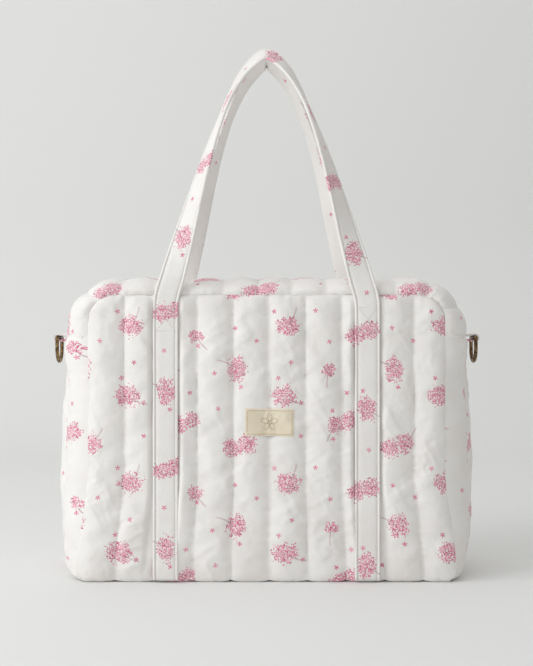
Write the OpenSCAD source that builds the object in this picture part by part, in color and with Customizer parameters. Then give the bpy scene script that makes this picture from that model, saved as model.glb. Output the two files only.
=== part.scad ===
// Quilted diaper bag with a zipped top gusset, two carry handles and side D-rings.
// Millimetres, +Z up, front towards -Y, origin on the ground under the middle of the bag.

/* [Bag] */
// Widest width of the bag, across its bulging sides
bag_w = 444; // [440:1:450]
// Depth between the outer faces of the front and back panels
bag_d = 156; // [150:2:160]
// Height of the crown of the closed top
bag_h = 314; // [310:1:318]
// Thickness of the quilted walls
quilt_t = 4.4; // [4:0.1:5]

/* [Straps and handles] */
// Width of the strap that makes the handles
strap_w = 26; // [22:1:30]
// Thickness of the folded strap
strap_t = 3; // [2.4:0.1:3]
// Distance from the middle of the bag to the middle of each strap
strap_x = 103; // [95:1:108]
// Height of the middle of the strap at the handles' crown
handle_h = 555; // [530:1:570]

/* [Zip] */
// Width across both rows of teeth
zip_w = 6; // [5:0.5:6]
// Thickness of the teeth
zip_t = 2; // [1.6:0.1:2.2]

/* [D-rings] */
// Wire radius of the D-rings
ring_wire_r = 2; // [1.6:0.1:2]
// Inside width of the D-rings
ring_inside = 25; // [25:1:28]
// Height of the D-ring bars above the ground
ring_z = 250; // [249:0.5:251]

/* [Label] */
// Width of the sewn label
label_w = 50; // [40:1:60]
// Height of the sewn label
label_h = 28; // [20:1:34]

/* [Hidden] */
$fn = 48;

cotton = "#f1ecea";
inner_cotton = "#f6f3ee";
fill_white = "#fbfaf7";
cream = "#dcd0b8";
bronze = "#6b5a3f";
tape_white = "#ece8e2";

half_w = bag_w / 2;
half_d = bag_d / 2;
gap = 0.3;
cover_t = 1;
wad_t = quilt_t - cover_t - gap;
lining_t = 0.8;
base_t = quilt_t;
wall_z = base_t + gap;

// The top gusset turns each upper corner about this centre
corner_x = 156;
corner_z = bag_h - 55;
crown_r = bag_h - corner_z;
seam_r = 30;
panel_top = corner_z + seam_r;
run_x = corner_x - 0.5;

// The side walls bulge in plan on one arc through the corner seams
edge_x = 188;
bulge = half_w - edge_x;
side_r = (half_d * half_d + bulge * bulge) / (2 * bulge);
side_cx = half_w - side_r;
side_top = ring_z - 2;
strip_foot = ring_z + 2;

// The zip lies just under the crown of the gusset
zip_r = crown_r - 1;
tape_t = 0.6;
row_gap = 0.6;
lip_y = 6;
tape_w = lip_y - gap;

// The opening part of each strip folds along this line
fold_y = 68;

slider_half = 6.4;
slider_at = 8;
slider_r = zip_r + 0.4;
pull_r = zip_r + 4.2;
pull_l = 10;
pull_pin_r = 0.8;
running = 0.06;

ring_x = 225.5;
ring_drop = 11;
ring_half = ring_inside / 2 + ring_wire_r;
tab_r = 4.6;
tab_half = 11;
tab_t = 3.4;

function unit(v) = v / norm(v);
function bezier(a, b, c, d, t) =
    a * pow(1 - t, 3) + 3 * b * t * pow(1 - t, 2) + 3 * c * t * t * (1 - t) + d * pow(t, 3);

// Height of the gusset's dome above the corner centre, at y from the middle, t inside its skin
function dome(y, t) =
    let (mid = 30, span = half_d - t - mid, past = max(0, abs(y) - mid) / span)
    let (dip = 1.6 * pow(max(0, mid - abs(y)) / mid, 2))
    seam_r + (crown_r - seam_r - t) * sqrt(max(0, 1 - past * past)) - dip;

// Section of one gusset strip, from outer_y in to inner_y; across the bag along X, height along Y
module strip_section(outer_y, inner_y) {
    steps = 14;
    low_y = min(outer_y, half_d - quilt_t);
    outer = [for (i = [0 : steps]) let (y = outer_y + (inner_y - outer_y) * i / steps) [-y, dome(y, 0)]];
    inner = [for (i = [steps : -1 : 0])
        let (y = low_y + (inner_y - low_y) * i / steps) [-y, dome(y, quilt_t)]];
    polygon(concat(outer, inner));
}

// An arc of a (r, y) section about the corner's Y axis, from angle a0 to a1 above level
module corner_arc(side, a0, a1) {
    translate([side * corner_x, 0, corner_z])
        mirror([side > 0 ? 0 : 1, 0, 0])
            rotate([-90, 0, 0])
                rotate([0, 0, -a1])
                    rotate_extrude(angle = a1 - a0, $fn = 96)
                        children();
}

// The straight foot of the gusset below the corner's centre
module corner_foot(side, low) {
    translate([side * corner_x, 0, low])
        mirror([side > 0 ? 0 : 1, 0, 0])
            linear_extrude(height = corner_z - low)
                children();
}

// Section of a strip as (r, y), front at -Y on the bag
module strip_ry(face) {
    mirror([0, face > 0 ? 0 : 1])
        rotate([0, 0, -90])
            strip_section(half_d, lip_y);
}

module corner_strip(side, face) {
    color(cotton) {
        corner_arc(side, 0, 90)
            strip_ry(face);
        corner_foot(side, strip_foot)
            strip_ry(face);
    }
}

// A bar of the given section along X over the straight run of the zip
module run_x_bar() {
    translate([-run_x, 0, corner_z])
        rotate([90, 0, 90])
            linear_extrude(height = 2 * run_x)
                children();
}

// Opening part of a gusset strip, which folds outwards at fold_y
module top_strip(face) {
    color(cotton)
        mirror([0, face > 0 ? 1 : 0, 0])
            run_x_bar()
                strip_section(fold_y, lip_y);
}

// Edge of the strip that stays sewn to the panel
module strip_edge(face) {
    color(cotton)
        mirror([0, face > 0 ? 1 : 0, 0])
            run_x_bar()
                strip_section(half_d, fold_y + gap);
}

module zip_tape_run(face) {
    color(tape_white)
        mirror([0, face > 0 ? 1 : 0, 0])
            run_x_bar()
                translate([-tape_w, zip_r - zip_t / 2 - tape_t / 2])
                    square([tape_w - zip_w / 2, tape_t]);
}

module zip_teeth_run(face) {
    color(tape_white)
        mirror([0, face > 0 ? 1 : 0, 0])
            run_x_bar()
                translate([-zip_w / 2, zip_r - zip_t])
                    square([zip_w / 2 - row_gap, zip_t]);
}

module both_rows() {
    for (m = [0, 1])
        mirror([0, m])
            children();
}

module zip_tape_corner(side) {
    color(tape_white)
        corner_arc(side, 0, 90)
            both_rows()
                translate([zip_r - zip_t / 2 - tape_t / 2, zip_w / 2])
                    square([tape_t, tape_w - zip_w / 2]);
}

module zip_teeth_corner(side) {
    color(tape_white)
        corner_arc(side, 0, 90)
            both_rows()
                translate([zip_r - zip_t, row_gap])
                    square([zip_t, zip_w / 2 - row_gap]);
}

// Folded cotton tab that covers the end of the zip
module zip_end(side) {
    thick = 2.4;
    color(cotton)
        translate([side * (corner_x + zip_r - thick / 2) - thick / 2, -lip_y + gap, strip_foot])
            cube([thick, 2 * (lip_y - gap), corner_z - strip_foot - gap]);
}

// Outline of the front and back panels up to the gusset seam, drawn in by inset
module panel_outline(inset) {
    low_r = 14;
    wide = edge_x - gap - inset;
    low = wall_z + inset;
    right = concat(
        [for (a = [-90 : 15 : 0]) [wide - low_r + low_r * cos(a), low + low_r + low_r * sin(a)]],
        [for (a = [0 : 7.5 : 90]) [corner_x + (seam_r - inset) * cos(a), corner_z + (seam_r - inset) * sin(a)]]);
    left = [for (i = [len(right) - 1 : -1 : 0]) [-right[i][0], right[i][1]]];
    polygon(concat(right, left));
}

// A flat layer of a panel, from depth to depth + thick under its face
module panel_layer(face, depth, thick, inset) {
    front_y = half_d - depth;
    translate([0, face > 0 ? front_y : -front_y + thick, 0])
        rotate([90, 0, 0])
            linear_extrude(height = thick)
                panel_outline(inset);
}

module panel_cover(face) {
    color(cotton)
        panel_layer(face, 0, cover_t, 0);
}

module panel_wadding(face) {
    color(fill_white)
        panel_layer(face, cover_t + gap, wad_t, 3);
}

// Side profile of the bag seen from the front, inset by t
module silhouette(t) {
    low_r = 16;
    right = concat(
        [for (a = [-90 : 15 : 0]) [219 - low_r - t + low_r * cos(a), low_r + low_r * sin(a)]],
        [[half_w - t, 100], [half_w - 0.5 - t, 130], [219 - t, 190], [214 - t, 225], [213 - t, 262]]);
    left = [for (i = [len(right) - 1 : -1 : 0]) [-right[i][0], right[i][1]]];
    polygon(concat(right, left));
}

// Plan of the whole bag: flat front and back, arc-shaped sides, inset by t
module plan(t) {
    reach = asin(half_d / side_r);
    arc_r = side_r - t;
    right = [for (i = [-12 : 12]) let (a = reach * i / 12)
        [side_cx + arc_r * cos(a), (half_d - t) * sin(a) / sin(reach)]];
    polygon(concat(right, [for (i = [24 : -1 : 0]) [-right[i][0], right[i][1]]]));
}

module block(t, low, high) {
    intersection() {
        translate([0, bag_d, 0])
            rotate([90, 0, 0])
                linear_extrude(height = 2 * bag_d)
                    silhouette(t);
        translate([0, 0, low])
            linear_extrude(height = high - low)
                plan(t);
    }
}

// One layer of a side wall, from depth to depth + thick under its skin
module side_layer(side, depth, thick, low, high) {
    intersection() {
        difference() {
            block(depth, low, high);
            block(depth + thick, low - 1, high + 1);
        }
        translate([side > 0 ? edge_x : -edge_x - bag_w, -bag_d, low])
            cube([bag_w, 2 * bag_d, high - low]);
    }
}

module side_panel(side) {
    color(cotton)
        side_layer(side, 0, cover_t, wall_z, side_top);
}

module side_wadding(side) {
    color(fill_white)
        side_layer(side, cover_t + gap, wad_t, wall_z, side_top - 1);
}

module base_layer(low, high, t, tint) {
    color(tint)
        block(t, low, high);
}

// Stiff board that keeps the bottom flat
module base_board() {
    board_t = 2;
    color("#b9a98c")
        translate([-176, -64, base_t + gap])
            cube([352, 128, board_t]);
}

// Thin lining: front and back sheets, and one gusset sheet round the sides and the base
lining_y = half_d - quilt_t - gap;
lining_x = 184;
lining_low = base_t + 2.6;
lining_top = panel_top - 4;

module lining_sheet(face) {
    corner_r = lining_top - corner_z;
    color(inner_cotton)
        translate([0, face > 0 ? lining_y : lining_t - lining_y, 0])
            rotate([90, 0, 0])
                linear_extrude(lining_t)
                    hull() {
                        translate([-lining_x, lining_low])
                            square([2 * lining_x, corner_z - lining_low]);
                        for (side = [-1, 1])
                            translate([side * corner_x, corner_z])
                                circle(corner_r);
                    }
}

module lining_gusset() {
    deep = 2 * (lining_y - lining_t - gap);
    color(inner_cotton)
        difference() {
            translate([-lining_x - lining_t, -deep / 2, lining_low])
                cube([2 * (lining_x + lining_t), deep, side_top - 6 - lining_low]);
            translate([-lining_x, -deep, lining_low + lining_t])
                cube([2 * lining_x, 2 * deep, bag_h]);
        }
}

// Patch pocket on the back lining, gathered by an elastic in its hem
pocket_w = 240;
pocket_h = 140;
pocket_z = 60;
pocket_open = 9;

module inner_pocket() {
    wall = 0.8;
    back_y = lining_y - lining_t - gap;
    color(inner_cotton)
        difference() {
            translate([-pocket_w / 2, back_y - pocket_open, pocket_z])
                cube([pocket_w, pocket_open, pocket_h]);
            translate([-pocket_w / 2 + wall, back_y - pocket_open + wall, pocket_z + wall])
                cube([pocket_w - 2 * wall, pocket_open, pocket_h]);
            translate([-pocket_w / 2 - 1, back_y - pocket_open - 1, pocket_z + pocket_h - 9])
                cube([pocket_w + 2, wall + 1.01, 10]);
        }
}

module pocket_elastic() {
    back_y = lining_y - lining_t - gap;
    color(tape_white)
        translate([-pocket_w / 2 + 1, back_y - pocket_open - 0.7, pocket_z + pocket_h - 8.7])
            cube([pocket_w - 2, 1.5, 8]);
}

module wall_strap(side, face) {
    color(cotton)
        translate([side * strap_x - strap_w / 2, face > 0 ? half_d : -half_d - strap_t, wall_z])
            cube([strap_w, strap_t, panel_top - wall_z]);
}

module label_patch() {
    thick = 0.8;
    label_x = 3;
    label_z = 150;
    color(cream)
        translate([label_x - label_w / 2, -half_d - thick, label_z])
            cube([label_w, thick, label_h]);
}

// Handle: one strap loop that turns on its length from facing front to facing outwards, and at
// its crown leans back on the other handle.
// The pull values are its curve's inner control points, and the crown lies crown_y off the middle.
handle_z = panel_top + gap;
handle_steps = 16;
pull_x = [70, 48];
pull_y = [-76, -34];
pull_z = [395, 531];
crown_y = -11.8;
side_turn = 84;
crown_turn = 52;

function handle_point(t) = [
    -bezier(strap_x, pull_x[0], pull_x[1], 0, t),
    bezier(-half_d - strap_t / 2, pull_y[0], pull_y[1], crown_y, t),
    bezier(handle_z, pull_z[0], pull_z[1], handle_h, t)];
function handle_along(t) = t >= 1 ? [1, 0, 0] :
    unit(handle_point(t + 0.01) - handle_point(max(0, t - 0.01)));
function ease(t) = t * t * (3 - 2 * t);
function handle_turn(t) = side_turn * (1 - pow(1 - max(0, t - 0.05) / 0.95, 2.7))
    - (side_turn - crown_turn) * ease(max(0, t - 0.6) / 0.4);
function handle_face(t) =
    let (d = handle_along(t), a = handle_turn(t))
    unit([0, -cos(a), 0] + sin(a) * unit([-d[2], 0, d[0]]));
function handle_wide(t) =
    t <= 0 ? [1, 0, 0] : unit(cross(handle_along(t), handle_face(t)));
function handle_ring(t, side) =
    let (p = handle_point(t), w = handle_wide(t) * strap_w / 2)
    let (n = (t <= 0 ? [0, -1, 0] : handle_face(t)) * strap_t / 2)
    [for (c = [[-1, -1], [1, -1], [1, 1], [-1, 1]])
        let (q = p + c[0] * w + c[1] * n) [side * -q[0], q[1], t <= 0 ? handle_z : q[2]]];

module handle(face) {
    last = 2 * handle_steps;
    rings = [for (i = [0 : last])
        let (t = i <= handle_steps ? i / handle_steps : 2 - i / handle_steps)
        handle_ring(t, i <= handle_steps ? -1 : 1)];
    skin = [for (i = [0 : last - 1]) for (k = [0 : 3])
        let (a = 4 * i + k, b = 4 * i + (k + 1) % 4) each [[a, b, b + 4], [a, b + 4, a + 4]]];
    ends = [[3, 2, 1], [3, 1, 0], [4 * last, 4 * last + 1, 4 * last + 2],
        [4 * last, 4 * last + 2, 4 * last + 3]];
    color(cotton)
        mirror([0, face > 0 ? 1 : 0, 0])
            polyhedron(points = [for (r = rings) each r], faces = concat(skin, ends), convexity = 6);
}

// Cotton loop sewn into the side seam, with the D-ring's bar through it
module ring_tab(side) {
    root_x = 204;
    color(cotton)
        difference() {
            union() {
                translate([side * ring_x, tab_half, ring_z])
                    rotate([90, 0, 0])
                        cylinder(r = tab_r, h = 2 * tab_half);
                translate([side > 0 ? root_x : -ring_x, -tab_half, ring_z - tab_t / 2])
                    cube([ring_x - root_x, 2 * tab_half, tab_t]);
            }
            translate([side * ring_x, tab_half + 1, ring_z])
                rotate([90, 0, 0])
                    cylinder(r = ring_wire_r + running, h = 2 * tab_half + 2);
        }
}

module d_ring(side) {
    color(bronze)
        translate([side * ring_x, 0, ring_z]) {
            translate([0, ring_half, 0])
                rotate([90, 0, 0])
                    cylinder(r = ring_wire_r, h = 2 * ring_half);
            for (m = [-1, 1]) {
                translate([0, m * ring_half, -ring_drop])
                    cylinder(r = ring_wire_r, h = ring_drop);
                translate([0, m * ring_half, 0])
                    sphere(r = ring_wire_r);
            }
            translate([0, 0, -ring_drop])
                rotate([0, 90, 0])
                    rotate([0, 0, -90])
                        rotate_extrude(angle = 180, $fn = 96)
                            translate([ring_half, 0])
                                circle(r = ring_wire_r);
        }
}

// Zip slider: two plates joined by a post between the rows, flanges over the tape, ears on top
module slider_section() {
    plate = 1.5;
    wide = 4.6;
    flange = 0.9;
    reach = 0.7;
    under = zip_r - zip_t - 0.4;
    translate([slider_r, -wide])
        square([plate, 2 * wide]);
    translate([under - plate, -wide])
        square([plate, 2 * wide]);
    both_rows() {
        translate([slider_r - reach, wide - flange])
            square([reach + 0.1, flange]);
        translate([under - 0.1, wide - flange])
            square([reach + 0.1, flange]);
    }
}

module zip_slider(side) {
    half_post = 0.35;
    ear_in = 1.7;
    ear_w = 1.4;
    color(bronze) {
        corner_arc(side, slider_at - slider_half, slider_at + slider_half)
            slider_section();
        corner_arc(side, slider_at + 2, slider_at + slider_half)
            translate([zip_r - zip_t - 0.6, -half_post])
                square([zip_t + 1.4, 2 * half_post]);
        pull_pose(side) {
            for (m = [-1, 1])
                translate([0, m * (ear_in + ear_w / 2) + ear_w / 2, 0])
                    rotate([90, 0, 0])
                        cylinder(r = 1.7, h = ear_w);
            translate([0, ear_in + 0.2, 0])
                rotate([90, 0, 0])
                    cylinder(r = pull_pin_r, h = 2 * ear_in + 0.4);
        }
        for (m = [-1, 1])
            corner_arc(side, slider_at - 1.4, slider_at + 1.4)
                translate([slider_r + 1, m * (ear_in + ear_w / 2) - ear_w / 2])
                    square([pull_r - slider_r - 1, ear_w]);
    }
}

// Moves its children to the pull's pin
module pull_pose(side) {
    translate([side * (corner_x + pull_r * cos(slider_at)), 0, corner_z + pull_r * sin(slider_at)])
        children();
}

module zip_pull(side) {
    eye_r = 1.75;
    eye_w = 3;
    wide = 5;
    thick = 1.4;
    color(bronze)
        pull_pose(side)
            difference() {
                union() {
                    translate([0, eye_w / 2, 0])
                        rotate([90, 0, 0])
                            cylinder(r = eye_r, h = eye_w);
                    translate([-thick / 2, -eye_w / 2, -3])
                        cube([thick, eye_w, 3]);
                    translate([-thick / 2, -wide / 2, -pull_l])
                        cube([thick, wide, pull_l - 2.6]);
                }
                translate([0, eye_w, 0])
                    rotate([90, 0, 0])
                        cylinder(r = pull_pin_r + running, h = 2 * eye_w);
            }
}

panel_cover(-1);  // front_panel
panel_wadding(-1);  // front_wadding
panel_cover(1);  // back_panel
panel_wadding(1);  // back_wadding
side_panel(-1);  // side_panel_left
side_panel(1);  // side_panel_right
side_wadding(-1);  // side_wadding_left
side_wadding(1);  // side_wadding_right
base_layer(0, cover_t, 0, cotton);  // base_panel
base_layer(cover_t + gap, base_t, 6, fill_white);  // base_wadding
base_board();
lining_sheet(-1);  // lining_front
lining_sheet(1);  // lining_back
lining_gusset();
inner_pocket();
pocket_elastic();
corner_strip(-1, -1);  // corner_strip_front_left
corner_strip(1, -1);  // corner_strip_front_right
corner_strip(-1, 1);  // corner_strip_back_left
corner_strip(1, 1);  // corner_strip_back_right
wall_strap(-1, -1);  // strap_front_left
wall_strap(1, -1);  // strap_front_right
wall_strap(-1, 1);  // strap_back_left
wall_strap(1, 1);  // strap_back_right
label_patch();  // label
ring_tab(-1);  // ring_tab_left
ring_tab(1);  // ring_tab_right
d_ring(-1);  // d_ring_left
d_ring(1);  // d_ring_right
zip_tape_corner(-1);  // zip_tape_left
zip_tape_corner(1);  // zip_tape_right
zip_teeth_corner(-1);  // zip_teeth_left
zip_teeth_corner(1);  // zip_teeth_right
zip_end(-1);  // zip_end_left
zip_end(1);  // zip_end_right
strip_edge(-1);  // strip_edge_front
strip_edge(1);  // strip_edge_back
top_strip(-1);  // top_strip_front
zip_tape_run(-1);  // zip_tape_front
zip_teeth_run(-1);  // zip_teeth_front
top_strip(1);  // top_strip_back
zip_tape_run(1);  // zip_tape_back
zip_teeth_run(1);  // zip_teeth_back
zip_slider(-1);  // zip_slider_left
zip_slider(1);  // zip_slider_right
zip_pull(-1);  // zip_pull_left
zip_pull(1);  // zip_pull_right
handle(-1);  // handle_front
handle(1);  // handle_back
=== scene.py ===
import math

import bmesh
import bpy
import numpy as np
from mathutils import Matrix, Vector


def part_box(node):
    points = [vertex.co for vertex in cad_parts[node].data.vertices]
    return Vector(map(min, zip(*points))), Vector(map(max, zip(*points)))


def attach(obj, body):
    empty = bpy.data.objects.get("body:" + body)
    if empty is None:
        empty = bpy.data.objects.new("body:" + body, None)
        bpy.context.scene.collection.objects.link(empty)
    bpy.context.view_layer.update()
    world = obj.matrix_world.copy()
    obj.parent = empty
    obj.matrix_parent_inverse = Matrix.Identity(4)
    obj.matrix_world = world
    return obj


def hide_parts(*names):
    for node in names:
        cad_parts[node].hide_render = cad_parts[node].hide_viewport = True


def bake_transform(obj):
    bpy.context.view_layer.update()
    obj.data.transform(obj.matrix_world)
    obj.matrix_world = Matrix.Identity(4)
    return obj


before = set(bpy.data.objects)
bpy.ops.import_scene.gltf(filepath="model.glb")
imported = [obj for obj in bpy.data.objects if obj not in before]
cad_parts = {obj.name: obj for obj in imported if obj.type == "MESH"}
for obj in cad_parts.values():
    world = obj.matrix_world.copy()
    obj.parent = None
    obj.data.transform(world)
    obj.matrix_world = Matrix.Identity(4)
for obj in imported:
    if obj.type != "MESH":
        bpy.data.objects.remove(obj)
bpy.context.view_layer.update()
MM = 0.001


# ---- Room and camera ----
# A pale sweep of paper stands in for floor and wall. A broad soft window lights the left and the
# front, a white card lifts the near left, and a warm reflector and the ceiling fill the rest.

FLOOR_W = 6.0
FLOOR_FRONT = -3.0
SWEEP_Y = 1.1
SWEEP_R = 0.55
SWEEP_STEPS = 16
WALL_H = 3.2
EYE = (0.0, -1.25, 0.255)
LENS = 62.0
SENSOR = 36.0
BAG_MIDDLE = (0, 0, 0.2)


def new_material(name):
    """A fresh node material, its tree and its shader."""
    material = bpy.data.materials.new(name)
    material.use_nodes = True
    tree = material.node_tree
    shader = next(n for n in tree.nodes if n.type == "BSDF_PRINCIPLED")
    return material, tree, shader


def make_floor():
    profile = [(FLOOR_FRONT, 0.0), (SWEEP_Y, 0.0)]
    for step in range(1, SWEEP_STEPS + 1):
        turn = math.radians(90) * step / SWEEP_STEPS
        profile.append((SWEEP_Y + SWEEP_R * math.sin(turn), SWEEP_R * (1 - math.cos(turn))))
    profile.append((SWEEP_Y + SWEEP_R, WALL_H))
    verts = [(x, y, z) for y, z in profile for x in (-FLOOR_W / 2, FLOOR_W / 2)]
    faces = [(2 * i, 2 * i + 1, 2 * i + 3, 2 * i + 2) for i in range(len(profile) - 1)]
    mesh = bpy.data.meshes.new("paper_sweep")
    mesh.from_pydata(verts, [], faces)
    mesh.shade_smooth()
    paper = bpy.data.objects.new("paper_sweep", mesh)
    bpy.context.scene.collection.objects.link(paper)
    material, _, shader = new_material("pale_paper")
    shader.inputs["Base Color"].default_value = (0.83, 0.835, 0.825, 1)
    shader.inputs["Roughness"].default_value = 0.9
    mesh.materials.append(material)


def add_light(name, place, target, size, power, colour):
    lamp = bpy.data.lights.new(name, "AREA")
    lamp.shape = "RECTANGLE"
    lamp.size, lamp.size_y = size
    lamp.energy = power
    lamp.color = colour
    holder = bpy.data.objects.new(name, lamp)
    bpy.context.scene.collection.objects.link(holder)
    holder.location = place
    holder.rotation_euler = (Vector(target) - Vector(place)).to_track_quat("-Z", "Y").to_euler()


make_floor()
add_light("window", (-2.3, -1.1, 1.5), BAG_MIDDLE, (1.8, 2.0), 39.0, (0.985, 0.99, 1.0))
add_light("white_card", (-0.75, -1.35, 0.55), (-0.1, 0, 0.2), (0.5, 0.6), 2.4, (0.93, 0.97, 1.0))
add_light("reflector", (2.2, -1.8, 1.2), BAG_MIDDLE, (1.6, 1.6), 1.2, (1.0, 0.80, 0.64))
add_light("ceiling", (0.2, 0.3, 2.6), (0.1, 0.2, 0), (2.5, 2.5), 13.0, (0.98, 0.99, 1.0))

world = bpy.data.worlds.new("room")
world.use_nodes = True
air = world.node_tree.nodes["Background"]
air.inputs["Color"].default_value = (0.87, 0.865, 0.85, 1)
air.inputs["Strength"].default_value = 0.52
bpy.context.scene.world = world

eye = bpy.data.cameras.new("eye")
eye.lens = LENS
eye.sensor_width = SENSOR
eye_holder = bpy.data.objects.new("eye", eye)
bpy.context.scene.collection.objects.link(eye_holder)
eye_holder.location = EYE
eye_holder.rotation_euler = (math.radians(90), 0, 0)
bpy.context.scene.camera = eye_holder
bpy.context.scene.view_settings.view_transform = "Standard"


# ---- Printed cotton ----
# White plain-weave cotton, screen printed in pinks with a sprig pattern that repeats on a
# square: rounded heads of tiny florets on thin stems, with small star flowers scattered between.

REPEAT = 0.160
# Each head: its centre across and up the repeat in metres, its half sizes in mm, the heading of
# its stem in degrees and the stem's end in mm from the centre (0 for a head with no stem)
HEADS = [
    (0.022, 0.000, 12.5, 10.0, 52, 21), (0.018, -0.071, 13.0, 10.5, -38, 22),
    (-0.034, -0.124, 10.5, 9.0, 200, 0), (-0.019, -0.120, 10.0, 9.5, 40, 20),
    (0.064, -0.045, 7.0, 6.5, 250, 18), (-0.030, -0.044, 9.5, 12.5, 140, 22),
    (0.088, -0.010, 7.5, 6.5, -62, 18), (0.072, -0.100, 11.0, 8.0, 225, 20),
    (0.084, -0.096, 8.0, 8.5, 20, 0),
]
# Each star flower's centre across and up the repeat
STARS = [
    (-0.032, -0.002), (-0.010, -0.015), (-0.053, -0.048), (-0.026, -0.062), (-0.049, -0.084),
    (0.008, 0.015), (0.050, 0.016), (0.064, -0.016), (0.025, -0.037), (0.012, -0.053),
    (0.035, -0.078), (0.067, -0.086), (0.035, -0.112), (0.068, -0.115), (0.082, -0.068),
    (-0.070, -0.020),
]
INK_LIGHT = (0.85, 0.32, 0.45, 1)
INK_DEEP = (0.60, 0.065, 0.175, 1)
INK_GREY = (0.30, 0.16, 0.20, 1)
STAR_R = 2.7
STAR_CELL = 4.0
COTTON = (0.90, 0.882, 0.862, 1)
COTTON_SHADE = (0.865, 0.838, 0.812, 1)


class Graph:
    """Short ways to add shader nodes to one material's tree."""

    def __init__(self, tree):
        self.tree = tree

    def node(self, kind, **settings):
        made = self.tree.nodes.new(kind)
        for key, value in settings.items():
            setattr(made, key, value)
        return made

    def wire(self, source, socket):
        if isinstance(source, (int, float, tuple)):
            socket.default_value = source
        else:
            self.tree.links.new(source, socket)

    def math(self, operation, a, b=0.0, c=0.0, clamp=False):
        made = self.node("ShaderNodeMath", operation=operation, use_clamp=clamp)
        for value, socket in zip((a, b, c), made.inputs):
            self.wire(value, socket)
        return made.outputs[0]

    def vector(self, operation, a, b=(0, 0, 0), c=(0, 0, 0)):
        made = self.node("ShaderNodeVectorMath", operation=operation)
        for value, socket in zip((a, b, c), made.inputs):
            self.wire(value, socket)
        return made.outputs["Value" if operation in ("LENGTH", "DOT_PRODUCT") else "Vector"]

    def ramp(self, value, low, high, start=0.0, end=1.0):
        made = self.node("ShaderNodeMapRange", interpolation_type="SMOOTHSTEP")
        for v, socket in zip((value, low, high, start, end), made.inputs):
            self.wire(v, socket)
        return made.outputs[0]

    def mix(self, factor, a, b):
        made = self.node("ShaderNodeMix", data_type="RGBA")
        self.wire(factor, made.inputs[0])
        self.wire(a, made.inputs[6])
        self.wire(b, made.inputs[7])
        return made.outputs[2]

    def noise(self, where, scale, detail=2.0, roughness=0.5):
        made = self.node("ShaderNodeTexNoise")
        self.wire(where, made.inputs["Vector"])
        made.inputs["Scale"].default_value = scale
        made.inputs["Detail"].default_value = detail
        made.inputs["Roughness"].default_value = roughness
        return made.outputs["Fac"]

    def split(self, vector):
        made = self.node("ShaderNodeSeparateXYZ")
        self.wire(vector, made.inputs[0])
        return made.outputs

    def turn(self, vector, angle):
        made = self.node("ShaderNodeVectorRotate", rotation_type="Z_AXIS")
        self.wire(vector, made.inputs["Vector"])
        self.wire(angle, made.inputs["Angle"])
        return made.outputs[0]

    def bump(self, height, strength, distance):
        made = self.node("ShaderNodeBump")
        self.wire(strength, made.inputs["Strength"])
        self.wire(distance, made.inputs["Distance"])
        self.wire(height, made.inputs["Height"])
        return made


def place_in_repeat(g, where, shift):
    """Where a place on the cloth lies from the middle of its own repeat, in mm."""
    tiles = g.vector("MULTIPLY_ADD", where, (1 / REPEAT,) * 3, shift)
    local = g.vector("MULTIPLY_ADD", g.vector("FRACTION", tiles), (REPEAT / MM,) * 3,
                     (-REPEAT / MM / 2,) * 3)
    return g.vector("MULTIPLY", local, (1, 1, 0))


def centre_shift(x, z):
    return (0.5 - x / REPEAT, 0.5 - z / REPEAT, 0)


def head_group():
    """Node group: how far a place is from one head (1 at its rim), and that head's stem."""
    group = bpy.data.node_groups.new("flower_head", "ShaderNodeTree")
    for name in ("Where", "Shift", "Turn", "Size"):
        group.interface.new_socket(name, in_out="INPUT", socket_type="NodeSocketVector")
    group.interface.new_socket("Stem", in_out="INPUT", socket_type="NodeSocketFloat")
    group.interface.new_socket("Head", in_out="OUTPUT", socket_type="NodeSocketFloat")
    group.interface.new_socket("Stalk", in_out="OUTPUT", socket_type="NodeSocketFloat")
    g = Graph(group)
    inlet = g.node("NodeGroupInput")
    outlet = g.node("NodeGroupOutput")
    flat = place_in_repeat(g, inlet.outputs["Where"], inlet.outputs["Shift"])
    size = g.vector("MULTIPLY", flat, inlet.outputs["Size"])
    g.wire(g.vector("LENGTH", size), outlet.inputs["Head"])
    along, side, _ = g.split(g.turn(flat, g.split(inlet.outputs["Turn"])[0]))
    curve = g.math("MULTIPLY_ADD", g.math("MULTIPLY", along, along), -0.012, side)
    spread = g.math("MULTIPLY", along, 0.028)
    twin = g.math("ABSOLUTE", g.math("SUBTRACT", g.math("ABSOLUTE", curve), spread))
    line = g.ramp(twin, 0.12, 0.42, 1.0, 0.0)
    begun = g.ramp(along, 4.0, 6.0)
    ended = g.ramp(g.math("SUBTRACT", along, inlet.outputs["Stem"]), -1.0, 0.4, 1.0, 0.0)
    g.wire(g.math("MULTIPLY", g.math("MULTIPLY", line, begun), ended), outlet.inputs["Stalk"])
    return group


FLOWER_HEAD = head_group()


def head_node(g, where, x, z):
    made = g.node("ShaderNodeGroup")
    made.node_tree = FLOWER_HEAD
    g.wire(where, made.inputs["Where"])
    made.inputs["Shift"].default_value = centre_shift(x, z)
    return made


def head_distance(g, where):
    """Distance from the nearest head's centre, as a share of that head's own size."""
    nearest = None
    for x, z, half_w, half_h, _, _ in HEADS:
        made = head_node(g, where, x, z)
        made.inputs["Size"].default_value = (1 / half_w, 1 / half_h, 0)
        nearest = made.outputs[0] if nearest is None else g.math("MINIMUM", nearest, made.outputs[0])
    return nearest


def stem_mask(g, where):
    """The thin double stems of all the heads."""
    mask = None
    for x, z, _, _, heading, stem in HEADS:
        if not stem:
            continue
        made = head_node(g, where, x, z)
        made.inputs["Turn"].default_value = (math.radians(-heading), 0, 0)
        made.inputs["Stem"].default_value = float(stem)
        mask = made.outputs[1] if mask is None else g.math("MAXIMUM", mask, made.outputs[1])
    return mask


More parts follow.
